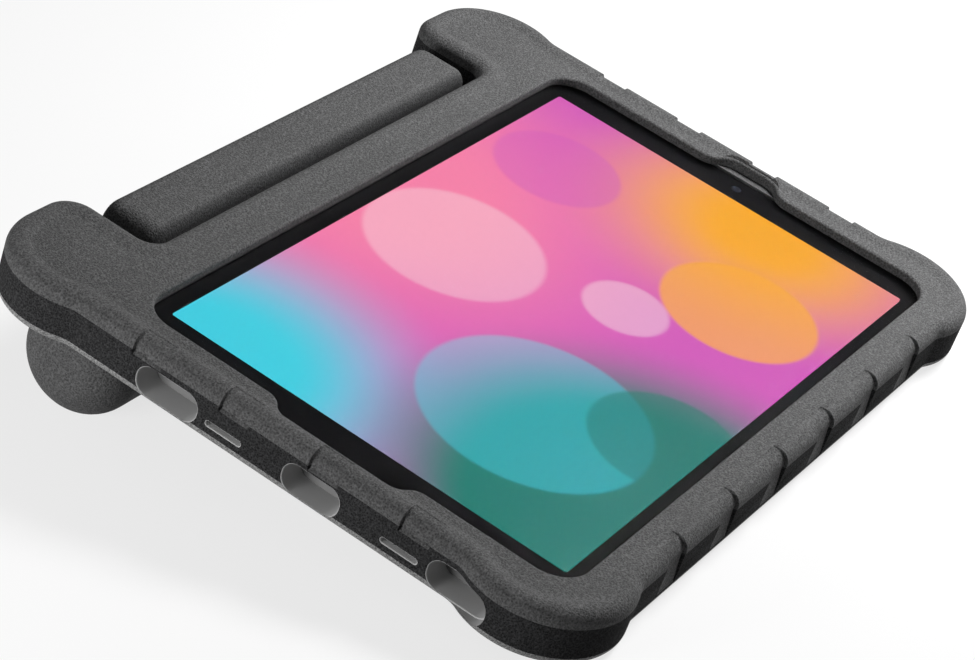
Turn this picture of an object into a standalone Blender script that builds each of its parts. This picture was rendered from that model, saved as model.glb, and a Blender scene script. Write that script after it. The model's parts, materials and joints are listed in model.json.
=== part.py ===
"""Kids tablet case: a moulded foam shell with four round corner lobes, a folding foam handle that
turns on two hinge pegs, and the tablet that the shell holds.

The pieces are laid out in the case's own frame: the middle of the tablet's glass is the origin,
X runs along the long side toward the front camera, Y toward the handle and Z out of the glass.
An empty then tips the whole case onto its two knuckles and its front edge, as it rests on a table.
"""

import math

import bmesh
import bpy
from mathutils import Matrix, Vector

MM = 0.001

# Gaps between pieces
FIT = 0.3 * MM
RUNNING_GAP = 0.5 * MM

# Tablet
TABLET_LENGTH = 245.2 * MM
TABLET_WIDTH = 149.4 * MM
TABLET_THICKNESS = 7.5 * MM
TABLET_CORNER = 9.5 * MM
TABLET_EDGE_ROUND = 2.4 * MM
TABLET_RIM = 0.7 * MM
GLASS_THICKNESS = 0.9 * MM
BORDER_AT_ENDS = 13.9 * MM
BORDER_AT_SIDES = 6.75 * MM
DISPLAY_THICKNESS = 1.0 * MM
FRONT_CAMERA_RADIUS = 1.7 * MM
REAR_CAMERA_RADIUS = 5.5 * MM
REAR_CAMERA_HEIGHT = 1.2 * MM
REAR_CAMERA_CHAMFER = 0.4 * MM
REAR_CAMERA_FROM_END = 22.0 * MM
REAR_CAMERA_FROM_SIDE = 22.0 * MM
CHARGE_SOCKET_WIDTH = 9.2 * MM
CHARGE_SOCKET_HEIGHT = 3.2 * MM
CHARGE_SOCKET_DEPTH = 7.0 * MM
AUDIO_SOCKET_RADIUS = 1.8 * MM

# Foam walls round the tablet
SHORT_WALL = 8.9 * MM
FRONT_WALL = 11.3 * MM
HANDLE_WALL = 14.3 * MM
BACK_WALL = 6.2 * MM
LIP_TOP = 3.0 * MM
LIP_OVER_ENDS = 4.0 * MM
LIP_OVER_SIDES = 1.4 * MM
LIP_UNDERCUT = 1.0 * MM
LIP_ROUND = 1.0 * MM
LIP_ARC = 80.0
WINDOW_CORNER = 11.0 * MM
BEAD_RISE = 1.0 * MM
BEAD_ROUND = 4.0 * MM
BEAD_WIDTH = 9.0 * MM
BOTTOM_ROUND = 3.0 * MM

# Corner lobes
FRONT_LOBE_RADIUS = 26.0 * MM
FRONT_LOBE_PAST_END = 4.3 * MM
FRONT_LOBE_PAST_SIDE = 2.6 * MM
REAR_LOBE_RADIUS = 24.0 * MM
REAR_LOBE_PAST_END = 2.9 * MM
REAR_LOBE_REACH = 31.8 * MM
REAR_LOBE_WIDTH = 42.9 * MM
REAR_LOBE_INNER_RADIUS = 10.0 * MM
LOBE_FILLET = 9.0 * MM
BAY_FILLET = 5.5 * MM

# Window notches in the middle of the short sides
PORT_NOTCH_DEPTH = 5.3 * MM
PORT_NOTCH_FLAT = 34.0 * MM
PORT_NOTCH_FILLET = 6.0 * MM
CAMERA_NOTCH_DEPTH = 7.2 * MM
CAMERA_NOTCH_FLAT = 10.0 * MM
CAMERA_NOTCH_FILLET = 7.0 * MM

# Grip recesses over the rim bead
GRIP_WIDTH = 10.0 * MM
GRIP_DEPTH = 1.5 * MM
GRIP_REACH = 6.0 * MM
GRIP_FOOT_DEPTH = 0.2 * MM
END_GRIP_FOOT = -2.4 * MM
SIDE_GRIPS = 6
SIDE_GRIP_PITCH = 31.3 * MM
END_GRIPS = 4
END_GRIP_PITCH = 30.6 * MM
END_GRIP_CENTRE = 13.0 * MM

# Openings in the port wall
PORT_PITCH = 50.0 * MM
PORT_WIDTH = 21.0 * MM
CENTRE_PORT_WIDTH = 19.0 * MM
PORT_TOP = -2.8 * MM
PORT_FLOOR = 2.0 * MM
PORT_CORNER = 4.2 * MM
SPEAKER_SLOT_PITCH = 30.0 * MM
SPEAKER_SLOT_LENGTH = 12.0 * MM
SPEAKER_SLOT_HEIGHT = 1.6 * MM
SPEAKER_SLOT_LEVEL = -7.9 * MM
CAMERA_WINDOW_RADIUS = 9.0 * MM
CAMERA_WINDOW_FLARE = 1.5 * MM
SLOT_END_SHARE = 0.45

# Handle and its hinge
BAR_WIDTH = 20.2 * MM
BAR_GAP = 3.0 * MM
BAR_END_GAP = 4.0 * MM
BAR_END_ROUND = 7.5 * MM
BAR_TOP = 3.0 * MM
BAR_ROUND = 4.0 * MM
KNUCKLE_RADIUS = 18.5 * MM
KNUCKLE_DOME = 13.0 * MM
KNUCKLE_FROM_LOBE_END = 8.0 * MM
HINGE_BELOW_BACK = 11.0 * MM
HINGE_INSIDE_WALL = 1.2 * MM
HUB_RADIUS = 17.0 * MM
HUB_WIDTH = 22.0 * MM
HUB_ROUND = 2.5 * MM
PEG_RADIUS = 4.0 * MM
PEG_HEAD_RADIUS = 7.5 * MM
PEG_HEAD_THICKNESS = 2.4 * MM
PEG_CHAMFER = 0.6 * MM
PEG_SEAT = 20.0 * MM

ARC_STEP = math.radians(10.0)
ROUND_STEPS = 4
BEAD_STEPS = 3
DOME_STEPS = 6
TURNED_STEPS = 36
SHARP = math.radians(40.0)
TOUCH = 0.01 * MM

# Levels and edges worked out from the sizes above
HALF_LENGTH = TABLET_LENGTH / 2
HALF_WIDTH = TABLET_WIDTH / 2
POCKET_FLOOR = -TABLET_THICKNESS - FIT
BACK = POCKET_FLOOR - BACK_WALL
BEAD_TOP = LIP_TOP + BEAD_RISE
SHELL_END = HALF_LENGTH + FIT + SHORT_WALL
SHELL_FRONT = -HALF_WIDTH - FIT - FRONT_WALL
SHELL_REAR = HALF_WIDTH + FIT + HANDLE_WALL
LOBE_REAR = SHELL_REAR + REAR_LOBE_REACH
LOBE_INNER_FACE = SHELL_END + REAR_LOBE_PAST_END - REAR_LOBE_WIDTH
DISPLAY_HALF_LENGTH = HALF_LENGTH - BORDER_AT_ENDS
DISPLAY_HALF_WIDTH = HALF_WIDTH - BORDER_AT_SIDES
GLASS_BOTTOM = -GLASS_THICKNESS
PANEL_TOP = GLASS_BOTTOM - FIT
PANEL_BOTTOM = PANEL_TOP - DISPLAY_THICKNESS
HINGE_Y = SHELL_REAR - HINGE_INSIDE_WALL
HINGE_Z = BACK - HINGE_BELOW_BACK
BAR_INNER = SHELL_REAR + BAR_GAP
BAR_HALF_LENGTH = LOBE_INNER_FACE - BAR_END_GAP
HUB_OUTER_FACE = LOBE_INNER_FACE - RUNNING_GAP
HUB_INNER_FACE = HUB_OUTER_FACE - HUB_WIDTH
KNUCKLE_FACE = LOBE_INNER_FACE + RUNNING_GAP
KNUCKLE_END = SHELL_END + REAR_LOBE_PAST_END - KNUCKLE_FROM_LOBE_END
REAR_CAMERA = Vector((HALF_LENGTH - REAR_CAMERA_FROM_END, HALF_WIDTH - REAR_CAMERA_FROM_SIDE, 0))


def clear_scene():
    for obj in list(bpy.data.objects):
        bpy.data.objects.remove(obj)


def collection(name):
    made = bpy.data.collections.new(name)
    bpy.context.scene.collection.children.link(made)
    return made


def material(name, colour, roughness, metallic=0.0):
    made = bpy.data.materials.new(name)
    made.use_nodes = True
    shader = made.node_tree.nodes["Principled BSDF"]
    shader.inputs["Base Color"].default_value = (*colour, 1.0)
    shader.inputs["Roughness"].default_value = roughness
    shader.inputs["Metallic"].default_value = metallic
    made.diffuse_color = (*colour, 1.0)
    return made


def add_object(name, mesh, home, finish=None):
    obj = bpy.data.objects.new(name, mesh)
    home.objects.link(obj)
    if finish is not None:
        mesh.materials.append(finish)
    return obj


def shade_round(mesh):
    mesh.shade_smooth()
    mesh.set_sharp_from_angle(angle=SHARP)


def belt(circles):
    """Runs a closed line counterclockwise round signed circles, straight between one and the next.

    A circle is (x, y, radius): positive where the line turns left round it, negative where it turns
    right. Each sample is (centre, radius, normal), so an inset only changes the radius.
    """
    count = len(circles)
    normals = []
    for index, (x, y, radius) in enumerate(circles):
        next_x, next_y, next_radius = circles[(index + 1) % count]
        step = Vector((next_x - x, next_y - y))
        along = step.normalized()
        left = Vector((-along.y, along.x))
        cosine = (next_radius - radius) / step.length
        normals.append(along * cosine + left * math.sqrt(max(0.0, 1 - cosine * cosine)))
    samples = []
    for index, (x, y, radius) in enumerate(circles):
        first = normals[index - 1]
        last = normals[index]
        turn = math.atan2(first.x * last.y - first.y * last.x, first.dot(last))
        if radius > 0 and turn < 0:
            turn += 2 * math.pi
        steps = max(1, round(abs(turn) / ARC_STEP))
        start = math.atan2(first.y, first.x)
        for number in range(steps + 1):
            angle = start + turn * number / steps
            normal = Vector((math.cos(angle), math.sin(angle)))
            samples.append((Vector((x, y)), radius, normal))
    points = inset_points(samples, 0.0)
    apart = [(points[index] - points[index - 1]).length > TOUCH for index in range(len(points))]
    return [sample for sample, kept in zip(samples, apart) if kept]


def inset_points(samples, inset):
    return [centre - normal * (radius - inset) for centre, radius, normal in samples]


def moulded(name, samples, section, home, finish=None):
    """A closed solid whose outline is inset and lifted by each (inset, height) of its section, from
    the bottom face to the top one."""
    bm = bmesh.new()
    rings = []
    for inset, height in section:
        points = inset_points(samples, inset)
        rings.append([bm.verts.new((point.x, point.y, height)) for point in points])
    for lower, upper in zip(rings, rings[1:]):
        for index in range(len(lower)):
            after = (index + 1) % len(lower)
            bm.faces.new((lower[index], lower[after], upper[after], upper[index]))
    bm.faces.new(list(reversed(rings[0])))
    bm.faces.new(rings[-1])
    mesh = bpy.data.meshes.new(name)
    bm.to_mesh(mesh)
    bm.free()
    shade_round(mesh)
    return add_object(name, mesh, home, finish)


def arc(across, up, radius, first, last, steps=ROUND_STEPS):
    """Points on an arc round (across, up), between two angles in degrees."""
    points = []
    for number in range(steps + 1):
        angle = math.radians(first + (last - first) * number / steps)
        points.append((across + radius * math.cos(angle), up + radius * math.sin(angle)))
    return points


def quarter(centre_inset, centre_height, radius, first, last, steps=ROUND_STEPS):
    """Section points on an arc, by the angle from the outward direction, up being positive."""
    points = arc(-centre_inset, centre_height, radius, first, last, steps)
    return [(-across, up) for across, up in points]


def rounded_box(half_x, half_y, corner, centre=(0.0, 0.0)):
    x, y = centre
    reach_x = half_x - corner
    reach_y = half_y - corner
    return belt([
        (x - reach_x, y - reach_y, corner),
        (x + reach_x, y - reach_y, corner),
        (x + reach_x, y + reach_y, corner),
        (x - reach_x, y + reach_y, corner),
    ])


def turned(name, profile, home, finish=None):
    """Turns (radius, height) points about Z, running down the outer side."""
    bm = bmesh.new()
    verts = [bm.verts.new((radius, 0, height)) for radius, height in profile]
    for first, second in zip(verts, verts[1:]):
        bm.edges.new((first, second))
    mesh = bpy.data.meshes.new(name)
    bm.to_mesh(mesh)
    bm.free()
    obj = add_object(name, mesh, home, finish)
    screw = obj.modifiers.new("Turn", "SCREW")
    screw.angle = 2 * math.pi
    screw.steps = TURNED_STEPS
    screw.render_steps = TURNED_STEPS
    screw.use_merge_vertices = True
    screw.merge_threshold = TOUCH
    screw.use_smooth_shade = True
    return obj


def along_x(obj, side, x):
    """Lays a turned piece along X with its top facing outward on the given side."""
    turn = Matrix.Rotation(side * math.pi / 2, 4, "Y")
    obj.matrix_world = Matrix.Translation((side * x, HINGE_Y, HINGE_Z)) @ turn
    return obj


def combine(obj, operation, other):
    step = obj.modifiers.new(other.name, "BOOLEAN")
    step.operation = operation
    step.object = other
    return step


def helper(obj):
    obj.hide_render = True
    obj.display_type = "WIRE"
    return obj


def shell_outline():
    """The foam shell seen from above: straight walls, lobes on the corners and a bay for the bar."""
    front_x = SHELL_END + FRONT_LOBE_PAST_END - FRONT_LOBE_RADIUS
    front_y = SHELL_FRONT - FRONT_LOBE_PAST_SIDE + FRONT_LOBE_RADIUS
    rear_x = SHELL_END + REAR_LOBE_PAST_END - REAR_LOBE_RADIUS
    rear_y = LOBE_REAR - REAR_LOBE_RADIUS
    inner_x = LOBE_INNER_FACE + REAR_LOBE_INNER_RADIUS
    inner_y = LOBE_REAR - REAR_LOBE_INNER_RADIUS
    fillet_x = SHELL_END + LOBE_FILLET
    front_reach = FRONT_LOBE_RADIUS + LOBE_FILLET
    rear_reach = REAR_LOBE_RADIUS + LOBE_FILLET
    low_fillet_y = front_y + math.sqrt(front_reach**2 - (fillet_x - front_x) ** 2)
    high_fillet_y = rear_y - math.sqrt(rear_reach**2 - (fillet_x - rear_x) ** 2)
    front_fillet_y = SHELL_FRONT - LOBE_FILLET
    front_fillet_x = front_x - math.sqrt(front_reach**2 - (front_fillet_y - front_y) ** 2)
    bay_x = LOBE_INNER_FACE - BAY_FILLET
    bay_y = SHELL_REAR + BAY_FILLET
    right = [
        (front_fillet_x, front_fillet_y, -LOBE_FILLET),
        (front_x, front_y, FRONT_LOBE_RADIUS),
        (fillet_x, low_fillet_y, -LOBE_FILLET),
        (fillet_x, high_fillet_y, -LOBE_FILLET),
        (rear_x, rear_y, REAR_LOBE_RADIUS),
        (inner_x, inner_y, REAR_LOBE_INNER_RADIUS),
        (bay_x, bay_y, -BAY_FILLET),
    ]
    left = [(-x, y, radius) for x, y, radius in reversed(right)]
    return belt(right + left)


def shell_foot():
    """The rounded lower edge of the shell's side."""
    return quarter(BOTTOM_ROUND, BACK + BOTTOM_ROUND, BOTTOM_ROUND, -90, 0)


def shell_rim(step_in=0.0):
    """The rim bead, from the side over its crown to the flat lip, with step_in taken off it."""
    crown = BEAD_TOP - step_in
    slope = BEAD_WIDTH - BEAD_ROUND
    section = quarter(BEAD_ROUND + step_in, crown - BEAD_ROUND, BEAD_ROUND, 0, 90)
    for number in range(BEAD_STEPS):
        share = (number + 1) / BEAD_STEPS
        fall = BEAD_RISE * (1 - math.cos(math.pi * share)) / 2
        section.append((BEAD_ROUND + step_in + slope * share, crown - fall))
    return section


def window_outline():
    """The lip's inner edge, with a notch over the port end and one over the front camera."""
    half_x = HALF_LENGTH - LIP_OVER_ENDS
    half_y = HALF_WIDTH - LIP_OVER_SIDES
    corner_x = half_x - WINDOW_CORNER
    corner_y = half_y - WINDOW_CORNER

    def notch(side, depth, flat, fillet):
        outer = (side * (half_x + depth - fillet), -flat / 2)
        rise = math.sqrt((2 * fillet) ** 2 - (2 * fillet - depth) ** 2)
        foot = (side * (half_x + fillet), -flat / 2 - rise)
        lower = [(*foot, -fillet), (*outer, fillet)]
        upper = [(x, -y, radius) for x, y, radius in reversed(lower)]
        circles = lower + upper
        return circles if side > 0 else list(reversed(circles))

    return belt([
        (-corner_x, -corner_y, WINDOW_CORNER),
        (corner_x, -corner_y, WINDOW_CORNER),
        *notch(1, CAMERA_NOTCH_DEPTH, CAMERA_NOTCH_FLAT, CAMERA_NOTCH_FILLET),
        (corner_x, corner_y, WINDOW_CORNER),
        (-corner_x, corner_y, WINDOW_CORNER),
        *notch(-1, PORT_NOTCH_DEPTH, PORT_NOTCH_FLAT, PORT_NOTCH_FILLET),
    ])


def cut_window(home):
    edge = LIP_TOP - LIP_ROUND
    section = [(-LIP_UNDERCUT, -FIT), (-LIP_UNDERCUT, FIT)]
    section += arc(-LIP_ROUND, edge, LIP_ROUND, 0, LIP_ARC)
    section.append((-2 * LIP_ROUND, BEAD_TOP + LIP_ROUND))
    return helper(moulded("window_cut", window_outline(), section, home))


def cut_pocket(home):
    samples = rounded_box(HALF_LENGTH + FIT, HALF_WIDTH + FIT, TABLET_CORNER + FIT)
    bottom = quarter(TABLET_EDGE_ROUND, POCKET_FLOOR + TABLET_EDGE_ROUND, TABLET_EDGE_ROUND, -90, 0, 3)
    return helper(moulded("pocket_cut", samples, bottom + [(0.0, FIT)], home))


def box_between(name, low, high, home):
    """A box with its corners at low and high."""
    bm = bmesh.new()
    bmesh.ops.create_cube(bm, size=1.0)
    size = [b - a for a, b in zip(low, high)]
    middle = [(a + b) / 2 for a, b in zip(low, high)]
    bmesh.ops.scale(bm, vec=size, verts=bm.verts)
    bmesh.ops.translate(bm, vec=middle, verts=bm.verts)
    mesh = bpy.data.meshes.new(name)
    bm.to_mesh(mesh)
    bm.free()
    return add_object(name, mesh, home)


def side_grip_places():
    """The (low, high) corners, in X and Y, of the recesses along the front side."""
    places = []
    for number in range(SIDE_GRIPS):
        x = (number - (SIDE_GRIPS - 1) / 2) * SIDE_GRIP_PITCH
        low = (x - GRIP_WIDTH / 2, SHELL_FRONT - GRIP_DEPTH)
        places.append((low, (x + GRIP_WIDTH / 2, SHELL_FRONT + GRIP_REACH)))
    return places


def end_grip_places():
    """The (low, high) corners, in X and Y, of the recesses on both short sides."""
    places = []
    for number in range(END_GRIPS):
        y = END_GRIP_CENTRE + (number - (END_GRIPS - 1) / 2) * END_GRIP_PITCH
        low_y = y - GRIP_WIDTH / 2
        high_y = y + GRIP_WIDTH / 2
        places.append(((SHELL_END - GRIP_REACH, low_y), (SHELL_END + GRIP_DEPTH, high_y)))
        places.append(((-SHELL_END - GRIP_DEPTH, low_y), (-SHELL_END + GRIP_REACH, high_y)))
    return places


def cut_grips(word, places, foot, home, tools):
    """Boxes over the rim, less a core one step smaller than the shell, so that each floor follows the
    bead and then slopes out to the wall at its foot."""
    section = [(GRIP_FOOT_DEPTH, foot - GRIP_DEPTH), (GRIP_FOOT_DEPTH, foot)] + shell_rim(GRIP_DEPTH)
    core = helper(moulded(f"{word}_grip_core", shell_outline(), section, tools))
    for number, (low, high) in enumerate(places):
        cutter = box_between(f"{word}_grip_{number + 1}", (*low, foot), (*high, BEAD_TOP + GRIP_DEPTH), home)
        combine(helper(cutter), "DIFFERENCE", core)


def end_slot(name, y, width, bottom, top, corner, from_x, to_x, home):
    """A slot with rounded ends that runs through the wall along X."""
    samples = rounded_box(width / 2, (top - bottom) / 2, corner)
    slot = helper(moulded(name, samples, [(0.0, from_x), (0.0, to_x)], home))
    stand = Matrix(((0, 0, 1, 0), (1, 0, 0, y), (0, 1, 0, (bottom + top) / 2), (0, 0, 0, 1)))
    slot.matrix_world = stand
    return slot


def cut_ports(home):
    outside = -SHELL_END - FRONT_LOBE_PAST_END - FIT
    inside = -HALF_LENGTH
    floor = BACK + PORT_FLOOR
    for name, y, width in (
        ("near_port_cut", PORT_PITCH, PORT_WIDTH),
        ("centre_port_cut", 0.0, CENTRE_PORT_WIDTH),
        ("far_port_cut", -PORT_PITCH, PORT_WIDTH),
    ):
        end_slot(name, y, width, floor, PORT_TOP, PORT_CORNER, outside, inside, home)
    for number, side in enumerate((1, -1)):
        low = SPEAKER_SLOT_LEVEL - SPEAKER_SLOT_HEIGHT / 2
        high = SPEAKER_SLOT_LEVEL + SPEAKER_SLOT_HEIGHT / 2
        y = side * SPEAKER_SLOT_PITCH
        corner = SPEAKER_SLOT_HEIGHT * SLOT_END_SHARE
        name = f"speaker_cut_{number + 1}"
        end_slot(name, y, SPEAKER_SLOT_LENGTH, low, high, corner, outside, inside, home)


def cut_camera_window(home):
    top = POCKET_FLOOR + TABLET_EDGE_ROUND
    bottom = BACK - BOTTOM_ROUND
    wide = CAMERA_WINDOW_RADIUS + 2 * CAMERA_WINDOW_FLARE
    profile = [
        (0, top),
        (CAMERA_WINDOW_RADIUS, top),
        (CAMERA_WINDOW_RADIUS, BACK + CAMERA_WINDOW_FLARE),
        (wide, BACK - CAMERA_WINDOW_FLARE),
        (wide, bottom),
        (0, bottom),
    ]
    hole = helper(turned("camera_window_cut", profile, home))
    hole.location = REAR_CAMERA
    return hole


def hub_relief(side, tools):
    """The hollow that the handle's hub turns in, cut a little past the face of the knuckle."""
    word = "right" if side > 0 else "left"
    radius = HUB_RADIUS + RUNNING_GAP
    near = HUB_INNER_FACE - RUNNING_GAP
    length = KNUCKLE_FACE + FIT - near
    profile = [(0, length), (radius, length), (radius, 0), (0, 0)]
    return along_x(helper(turned(f"hub_relief_{word}", profile, tools)), side, near)


def cut_peg_seat(side, home):
    """The blind seat of the peg in the knuckle."""
    word = "right" if side > 0 else "left"
    seat = PEG_RADIUS + FIT
    depth = PEG_SEAT + FIT + RUNNING_GAP
    profile = [(0, depth), (seat, depth), (seat, 0), (0, 0)]
    peg_hole = helper(turned(f"peg_seat_{word}", profile, home))
    along_x(peg_hole, side, LOBE_INNER_FACE - RUNNING_GAP)


def knuckle(side, tools):
    """The domed barrel under a rear lobe, in which the hinge peg is seated."""
    word = "right" if side > 0 else "left"
    length = KNUCKLE_END - KNUCKLE_FACE
    profile = [(0, length)]
    profile += arc(KNUCKLE_RADIUS - KNUCKLE_DOME, length - KNUCKLE_DOME, KNUCKLE_DOME, 90, 0, DOME_STEPS)
    profile += [(KNUCKLE_RADIUS, 0), (0, 0)]
    barrel = helper(turned(f"knuckle_{word}", profile, tools))
    return along_x(barrel, side, KNUCKLE_FACE)


def shell(home, tools, cutters, finish):
    body = moulded("shell", shell_outline(), shell_foot() + shell_rim(), home, finish)
    for side in (-1, 1):
        combine(body, "DIFFERENCE", hub_relief(side, tools))
        combine(body, "UNION", knuckle(side, tools))
        cut_peg_seat(side, cutters)
    cut_pocket(cutters)
    cut_window(cutters)
    cut_ports(cutters)
    cut_camera_window(cutters)
    cut_grips("side", side_grip_places(), BACK + BOTTOM_ROUND, cutters, tools)
    cut_grips("end", end_grip_places(), END_GRIP_FOOT, cutters, tools)
    for cutter in list(cutters.objects):
        combine(body, "DIFFERENCE", cutter)
    return body


def hub(side, tools):
    """The handle's round end, which turns between the shell's back and the knuckle."""
    word = "right" if side > 0 else "left"
    edge = HUB_RADIUS - HUB_ROUND
    profile = [(0, HUB_WIDTH)]
    profile += arc(edge, HUB_WIDTH - HUB_ROUND, HUB_ROUND, 90, 0)
    profile += arc(edge, HUB_ROUND, HUB_ROUND, 0, -90)
    profile.append((0, 0))
    end = helper(turned(f"hub_{word}", profile, tools))
    return along_x(end, side, HUB_INNER_FACE)


def peg_bore(side, tools):
    word = "right" if side > 0 else "left"
    bore = PEG_RADIUS + FIT
    sink = PEG_HEAD_RADIUS + FIT
    sunk = PEG_HEAD_THICKNESS + FIT
    far = HUB_WIDTH + FIT
    profile = [(0, far), (bore, far), (bore, sunk), (sink, sunk), (sink, -FIT), (0, -FIT)]
    return along_x(helper(turned(f"peg_bore_{word}", profile, tools)), side, HUB_INNER_FACE)


def handle(home, tools, finish):
    """The foam handle: a bar between the rear lobes and a hub at each end."""
    low = BACK - HINGE_Z
    high = BAR_TOP - HINGE_Z
    inner = BAR_INNER - HINGE_Y
    samples = rounded_box(BAR_HALF_LENGTH, (high - low) / 2, BAR_END_ROUND, (0.0, (low + high) / 2))
    section = quarter(BAR_ROUND, BAR_ROUND - inner - BAR_WIDTH, BAR_ROUND, -90, 0)
    section += quarter(BAR_ROUND, -inner - BAR_ROUND, BAR_ROUND, 0, 90)
    bar = moulded("handle", samples, section, home, finish)
    bar.data.transform(Matrix.Rotation(math.pi / 2, 4, "X"))
    bar.location = (0, HINGE_Y, HINGE_Z)
    for side in (-1, 1):
        combine(bar, "UNION", hub(side, tools))
        combine(bar, "DIFFERENCE", peg_bore(side, tools))
    return bar


def hinge_peg(side, home, finish):
    """A plastic peg with a flat head, pushed through the hub into the knuckle."""
    word = "right" if side > 0 else "left"
    length = HUB_WIDTH + RUNNING_GAP + PEG_SEAT
    profile = [
        (0, length),
        (PEG_RADIUS - PEG_CHAMFER, length),
        (PEG_RADIUS, length - PEG_CHAMFER),
        (PEG_RADIUS, PEG_HEAD_THICKNESS),
        (PEG_HEAD_RADIUS, PEG_HEAD_THICKNESS),
        (PEG_HEAD_RADIUS, PEG_CHAMFER),
        (PEG_HEAD_RADIUS - PEG_CHAMFER, 0),
        (0, 0),
    ]
    return along_x(turned(f"hinge_peg_{word}", profile, home, finish), side, HUB_INNER_FACE)


def cut_sockets(body, tools):
    """The charging and audio sockets in the tablet's port end."""
    low = -TABLET_THICKNESS / 2 - CHARGE_SOCKET_HEIGHT / 2
    high = low + CHARGE_SOCKET_HEIGHT
    start = -HALF_LENGTH - FIT
    stop = -HALF_LENGTH + CHARGE_SOCKET_DEPTH
    corner = CHARGE_SOCKET_HEIGHT * SLOT_END_SHARE
    charge = end_slot("charge_cut", 0.0, CHARGE_SOCKET_WIDTH, low, high, corner, start, stop, tools)
    combine(body, "DIFFERENCE", charge)
    radius = AUDIO_SOCKET_RADIUS
    audio = helper(turned("audio_cut", [(0, stop), (radius, stop), (radius, start), (0, start)], tools))
    audio.rotation_euler = (0, math.pi / 2, 0)
    audio.location = (0, -PORT_PITCH, -TABLET_THICKNESS / 2)
    combine(body, "DIFFERENCE", audio)


def tablet_housing(home, tools, finish):
    """The tablet's back and side frame, with a tray for the glass and what lies under it."""
    samples = rounded_box(HALF_LENGTH, HALF_WIDTH, TABLET_CORNER)
    edge = TABLET_EDGE_ROUND
    section = quarter(edge, -TABLET_THICKNESS + edge, edge, -90, 0, 4)
    section += [(0.0, -TABLET_RIM / 2), (TABLET_RIM / 2, 0.0)]
    body = moulded("tablet_housing", samples, section, home, finish)
    tray = moulded("tray_cut", samples, [(TABLET_RIM, PANEL_BOTTOM - FIT), (TABLET_RIM, FIT)], tools)
    combine(body, "DIFFERENCE", helper(tray))
    cut_sockets(body, tools)
    return body


def front_camera_place():
    return Vector((HALF_LENGTH - BORDER_AT_ENDS / 2, 0, 0))


def screen_stack(home, tools, finishes):
    """The cover glass, the black border round the display, the display and the camera behind it."""
    samples = rounded_box(HALF_LENGTH, HALF_WIDTH, TABLET_CORNER)
    edge = TABLET_RIM + FIT
    glass_section = [(edge, GLASS_BOTTOM), (edge, -FIT), (edge + FIT, 0.0)]
    moulded("cover_glass", samples, glass_section, home, finishes["glass"])
    panel = rounded_box(DISPLAY_HALF_LENGTH, DISPLAY_HALF_WIDTH, TABLET_RIM)
    panel_section = [(0.0, PANEL_BOTTOM), (0.0, PANEL_TOP)]
    moulded("display_panel", panel, panel_section, home, finishes["display"])
    border_section = [(edge, PANEL_BOTTOM), (edge, PANEL_TOP)]
    border = moulded("black_border", samples, border_section, home, finishes["border"])
    hole_section = [(-FIT, PANEL_BOTTOM - FIT), (-FIT, PANEL_TOP + FIT)]
    combine(border, "DIFFERENCE", helper(moulded("panel_cut", panel, hole_section, tools)))
    radius = FRONT_CAMERA_RADIUS
    profile = [(0, PANEL_TOP), (radius, PANEL_TOP), (radius, PANEL_BOTTOM), (0, PANEL_BOTTOM)]
    lens = turned("front_camera", profile, home, finishes["lens"])
    lens.location = front_camera_place()
    wide = radius + FIT
    high = PANEL_TOP + FIT
    low = PANEL_BOTTOM - FIT
    hole = helper(turned("lens_cut", [(0, high), (wide, high), (wide, low), (0, low)], tools))
    hole.location = front_camera_place()
    combine(border, "DIFFERENCE", hole)


def rear_camera(home, finish):
    """The camera on the tablet's back, seen through the shell's round opening."""
    top = -TABLET_THICKNESS - FIT
    bottom = top - REAR_CAMERA_HEIGHT
    radius = REAR_CAMERA_RADIUS
    face = radius - REAR_CAMERA_CHAMFER
    profile = [(0, top), (radius, top), (radius, bottom + REAR_CAMERA_CHAMFER), (face, bottom), (0, bottom)]
    lens = turned("rear_camera", profile, home, finish)
    lens.location = REAR_CAMERA
    return lens


def rest_tilt():
    """The angle at which one flat table touches both the knuckles and the front lobes' lower edge."""
    front_y = SHELL_FRONT - FRONT_LOBE_PAST_SIDE + BOTTOM_ROUND
    front_z = BACK + BOTTOM_ROUND
    run = HINGE_Y - front_y
    rise = front_z - HINGE_Z
    return math.atan2(rise, run) + math.asin((KNUCKLE_RADIUS - BOTTOM_ROUND) / math.hypot(run, rise))


def stand_on_table(home, root):
    """Tips the case to its resting angle and puts the bottom centre of its box on the origin."""
    root.rotation_euler = (rest_tilt(), 0, 0)
    bpy.context.view_layer.update()
    graph = bpy.context.evaluated_depsgraph_get()
    points = []
    for obj in home.objects:
        if obj.type != "MESH":
            continue
        evaluated = obj.evaluated_get(graph)
        mesh = evaluated.to_mesh()
        points += [evaluated.matrix_world @ vert.co for vert in mesh.vertices]
        evaluated.to_mesh_clear()
    low = [min(point[axis] for point in points) for axis in range(3)]
    high = [max(point[axis] for point in points) for axis in range(3)]
    root.location = (-(low[0] + high[0]) / 2, -(low[1] + high[1]) / 2, -low[2])
    bpy.context.view_layer.update()


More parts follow.
